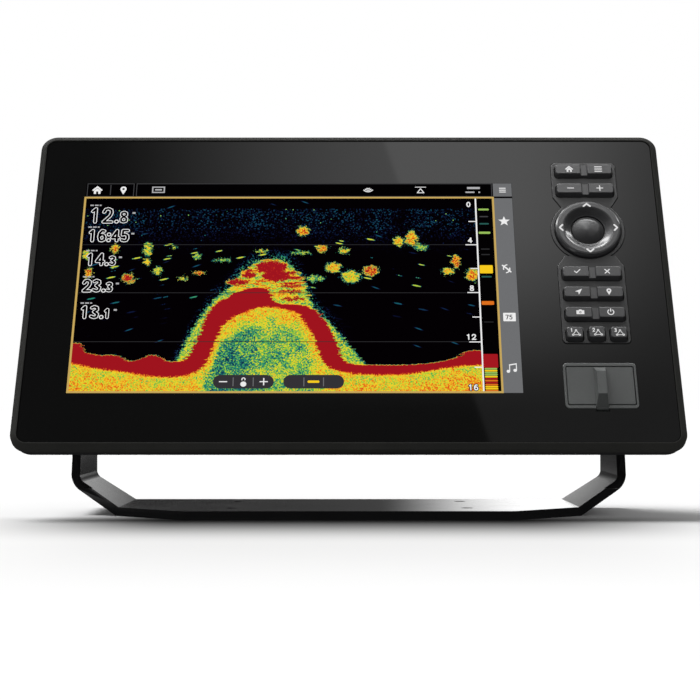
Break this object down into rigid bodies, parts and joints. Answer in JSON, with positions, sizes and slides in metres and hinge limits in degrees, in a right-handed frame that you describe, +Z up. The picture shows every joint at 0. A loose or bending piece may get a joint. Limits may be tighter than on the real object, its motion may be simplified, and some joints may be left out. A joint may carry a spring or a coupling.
{
  "type": "fish finder",
  "caption": "Tilting console fish finder: a widescreen display and keypad head held by two clamp knobs in a folded U-shaped gimbal bracket.",
  "frame": {"origin": "centre of the four mounting holes on the underside of the bracket's base", "axes": "+Z up from the base, +X to the user's right, the screen faces -Y and leans back"},
  "size_m": [0.292, 0.1126, 0.1772],
  "materials": {
    "bracket_metal": "satin black coating over formed aluminium strip",
    "nylon": "matt moulded nylon",
    "frame_plastic": "fine-textured dark grey moulding",
    "clear_glass": "glossy, black printed border behind",
    "tape": "black foam tape",
    "display": "glossy black panel",
    "metal_tray": "plain pressed metal",
    "housing_plastic": "fine-textured black moulding",
    "seal_rubber": "matt black rubber",
    "steel": "plain stainless steel",
    "socket_plastic": "matt black moulding",
    "brass": "plain brass",
    "gold_pins": "gold-plated contacts",
    "keypad_plastic": "matt dark grey moulding",
    "key_rubber": "matt dark grey rubber with white legends",
    "mat_silicone": "translucent grey silicone",
    "board": "green circuit board",
    "door_plastic": "matt mid-grey moulding",
    "card_plastic": "matt black card",
    "chip": "matt black chip packages",
    "can": "bare aluminium",
    "ferrite": "dark sintered core",
    "antenna_ceramic": "fired ceramic",
    "flex": "amber polyimide film"
  },
  "bodies": {
    "bracket": {"gimbal_bracket": "bracket_metal", "arm_bushes": "nylon"},
    "head": {"front_frame": "frame_plastic", "cover_glass": "clear_glass", "glass_tape": "tape", "lcd_panel": "display", "lcd_backlight": "metal_tray", "rear_housing": "housing_plastic", "housing_seal": "seal_rubber", "housing_screws": "steel", "vent_plug": "socket_plastic", "power_socket": "socket_plastic", "sonar_socket": "socket_plastic", "network_socket": "socket_plastic", "accessory_socket": "socket_plastic", "socket_pins": "gold_pins", "socket_seals": "seal_rubber", "socket_nuts": "brass", "keypad_panel": "keypad_plastic", "key_mat": "mat_silicone", "keypad_board": "board", "key_domes": "steel", "card_bay": "door_plastic", "door_hinge_pin": "steel", "card_sockets": "steel", "card_board": "board", "main_board": "board", "board_screws": "steel", "board_chips": "chip", "board_capacitors": "can", "sonar_transformer": "ferrite", "heat_spreader": "can", "buzzer": "chip", "gps_antenna": "antenna_ceramic", "display_flex": "flex", "keypad_flex": "flex", "threaded_inserts": "brass", "friction_discs": "seal_rubber"},
    "card_door": {"card_door": "door_plastic", "door_seal": "seal_rubber"},
    "memory_card_a": {"memory_card_a": "card_plastic"},
    "memory_card_b": {"memory_card_b": "card_plastic"},
    "cursor_gimbal": {"cursor_gimbal": "nylon"},
    "cursor_ring": {"cursor_ring": "key_rubber"},
    "cursor_button": {"cursor_button": "key_rubber"},
    "right_knob_slide": {"right_knob_washer": "steel"},
    "right_knob": {"right_knob": "nylon", "right_knob_stud": "steel"},
    "left_knob_slide": {"left_knob_washer": "steel"},
    "left_knob": {"left_knob": "nylon", "left_knob_stud": "steel"},
    "home_menu_key": {"home_menu_key": "key_rubber"},
    "zoom_key": {"zoom_key": "key_rubber"},
    "confirm_cancel_key": {"confirm_cancel_key": "key_rubber"},
    "goto_mark_key": {"goto_mark_key": "key_rubber"},
    "capture_power_key": {"capture_power_key": "key_rubber"},
    "preset_key_1": {"preset_key_1": "key_rubber"},
    "preset_key_2": {"preset_key_2": "key_rubber"},
    "preset_key_3": {"preset_key_3": "key_rubber"}
  },
  "joints": [
    {"name": "tilt", "type": "hinge", "parent": "bracket", "child": "head", "pos_m": [0, 0.014, 0.09], "axis": [-1, 0, 0], "range_deg": [-20, 35]},
    {"name": "home_menu_rock", "type": "hinge", "parent": "head", "child": "home_menu_key", "pos_m": [0.1103, 0.02004, 0.1571], "axis": [0, 0.4756, 0.8796], "range_deg": [-3.5, 3.5]},
    {"name": "zoom_rock", "type": "hinge", "parent": "head", "child": "zoom_key", "pos_m": [0.1103, 0.01486, 0.14751], "axis": [0, 0.4756, 0.8796], "range_deg": [-3.5, 3.5]},
    {"name": "confirm_cancel_rock", "type": "hinge", "parent": "head", "child": "confirm_cancel_key", "pos_m": [0.1103, -0.00707, 0.10696], "axis": [0, 0.4756, 0.8796], "range_deg": [-3.5, 3.5]},
    {"name": "goto_mark_rock", "type": "hinge", "parent": "head", "child": "goto_mark_key", "pos_m": [0.1103, -0.0122, 0.09746], "axis": [0, 0.4756, 0.8796], "range_deg": [-3.5, 3.5]},
    {"name": "capture_power_rock", "type": "hinge", "parent": "head", "child": "capture_power_key", "pos_m": [0.1103, -0.01734, 0.08796], "axis": [0, 0.4756, 0.8796], "range_deg": [-3.5, 3.5]},
    {"name": "preset_1_press", "type": "slide", "parent": "head", "child": "preset_key_1", "axis": [0, 0.8796, -0.4756], "range_m": [0, 0.0008]},
    {"name": "preset_2_press", "type": "slide", "parent": "head", "child": "preset_key_2", "axis": [0, 0.8796, -0.4756], "range_m": [0, 0.0008]},
    {"name": "preset_3_press", "type": "slide", "parent": "head", "child": "preset_key_3", "axis": [0, 0.8796, -0.4756], "range_m": [0, 0.0008]},
    {"name": "cursor_pitch", "type": "hinge", "parent": "head", "child": "cursor_gimbal", "pos_m": [0.1103, 0.00541, 0.12784], "axis": [1, 0, 0], "range_deg": [-3, 3]},
    {"name": "cursor_roll", "type": "hinge", "parent": "cursor_gimbal", "child": "cursor_ring", "pos_m": [0.1103, 0.00541, 0.12784], "axis": [0, 0.4756, 0.8796], "range_deg": [-3, 3]},
    {"name": "cursor_press", "type": "slide", "parent": "head", "child": "cursor_button", "axis": [0, 0.8796, -0.4756], "range_m": [0, 0.0008]},
    {"name": "door_swing", "type": "hinge", "parent": "head", "child": "card_door", "pos_m": [0.11035, -0.04181, 0.04839], "axis": [1, 0, 0], "range_deg": [0, 100]},
    {"name": "card_a_push", "type": "slide", "parent": "head", "child": "memory_card_a", "axis": [0, 0.8796, -0.4756], "range_m": [0, 0.001]},
    {"name": "card_b_push", "type": "slide", "parent": "head", "child": "memory_card_b", "axis": [0, 0.8796, -0.4756], "range_m": [0, 0.001]},
    {"name": "right_clamp_travel", "type": "slide", "parent": "head", "child": "right_knob_slide", "axis": [1, 0, 0], "range_m": [0, 0.002]},
    {"name": "right_knob_turn", "type": "hinge", "parent": "right_knob_slide", "child": "right_knob", "pos_m": [0.13, 0.014, 0.09], "axis": [1, 0, 0], "range_deg": [0, 720]},
    {"name": "left_clamp_travel", "type": "slide", "parent": "head", "child": "left_knob_slide", "axis": [-1, 0, 0], "range_m": [0, 0.002]},
    {"name": "left_knob_turn", "type": "hinge", "parent": "left_knob_slide", "child": "left_knob", "pos_m": [-0.13, 0.014, 0.09], "axis": [-1, 0, 0], "range_deg": [0, 720]}
  ],
  "couplings": [
    {"joint": "right_knob_turn", "follows": "right_clamp_travel", "rad_per_m": 6283.2},
    {"joint": "left_knob_turn", "follows": "left_clamp_travel", "rad_per_m": 6283.2}
  ]
}
